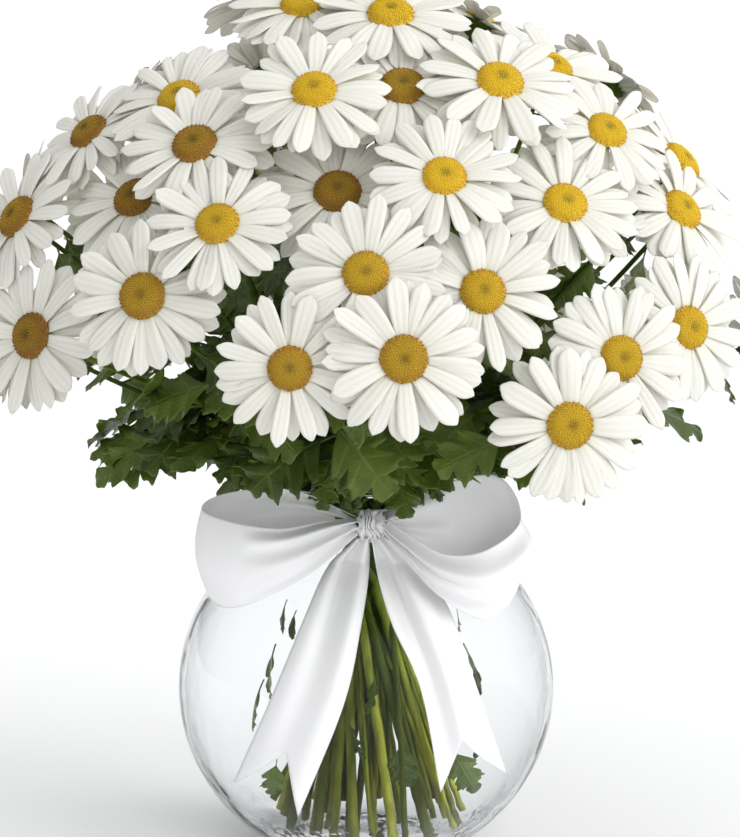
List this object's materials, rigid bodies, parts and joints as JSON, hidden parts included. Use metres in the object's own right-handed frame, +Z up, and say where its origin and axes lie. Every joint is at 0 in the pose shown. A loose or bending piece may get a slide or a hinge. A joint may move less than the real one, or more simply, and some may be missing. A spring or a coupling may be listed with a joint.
{
  "type": "floral centrepiece",
  "caption": "Full round arrangement of white daisies on leafy stems, standing in a round clear glass bowl of water with a white satin bow tied round its neck.",
  "frame": {"origin": "middle of the bowl's flat base, where it rests on the table", "axes": "+Z up, -Y towards the front, where the bow is"},
  "size_m": [0.3665, 0.3064, 0.4169],
  "materials": {
    "clear_glass": "clear, polished",
    "water": "clear water",
    "white_satin": "satin ribbon with a soft sheen",
    "white_rays": "matt white petals",
    "yellow_disc": "fine matt florets",
    "green_stems": "waxy green leaves and stems"
  },
  "bodies": {
    "root": {"rays_front_low": "white_rays", "disc_front_low_1": "yellow_disc", "disc_front_low_2": "yellow_disc", "disc_front_low_3": "yellow_disc", "disc_front_low_4": "yellow_disc", "rays_left_low": "white_rays", "disc_left_low_1": "yellow_disc", "disc_left_low_2": "yellow_disc", "disc_left_low_3": "yellow_disc", "disc_left_low_4": "yellow_disc", "disc_left_low_5": "yellow_disc", "rays_left_side": "white_rays", "disc_left_side_1": "yellow_disc", "disc_left_side_2": "yellow_disc", "disc_left_side_3": "yellow_disc", "rays_crown": "white_rays", "disc_crown_1": "yellow_disc", "disc_crown_2": "yellow_disc", "disc_crown_3": "yellow_disc", "disc_crown_4": "yellow_disc", "disc_crown_5": "yellow_disc", "rays_right_high": "white_rays", "disc_right_high_1": "yellow_disc", "disc_right_high_2": "yellow_disc", "disc_right_high_3": "yellow_disc", "disc_right_high_4": "yellow_disc", "disc_right_high_5": "yellow_disc", "disc_right_high_6": "yellow_disc", "disc_right_high_7": "yellow_disc", "rays_right_low": "white_rays", "disc_right_low_1": "yellow_disc", "disc_right_low_2": "yellow_disc", "disc_right_low_3": "yellow_disc", "daisy_back_1": "white_rays", "daisy_back_2": "white_rays", "daisy_back_3": "white_rays", "daisy_back_4": "white_rays", "daisy_back_5": "white_rays", "daisy_back_6": "white_rays", "daisy_back_7": "white_rays", "daisy_back_8": "white_rays", "daisy_back_9": "white_rays", "daisy_back_10": "white_rays", "daisy_back_11": "white_rays", "daisy_back_12": "white_rays", "daisy_back_13": "white_rays", "daisy_back_14": "white_rays", "daisy_back_15": "white_rays", "daisy_back_16": "white_rays", "daisy_back_17": "white_rays", "daisy_back_18": "white_rays", "leafy_stems": "green_stems", "glass_bowl": "clear_glass", "water": "water", "ribbon_band": "white_satin", "bow_knot": "white_satin", "bow_loop_left": "white_satin", "bow_loop_right": "white_satin", "ribbon_tail_left": "white_satin", "ribbon_tail_right": "white_satin"}
  },
  "joints": []
}
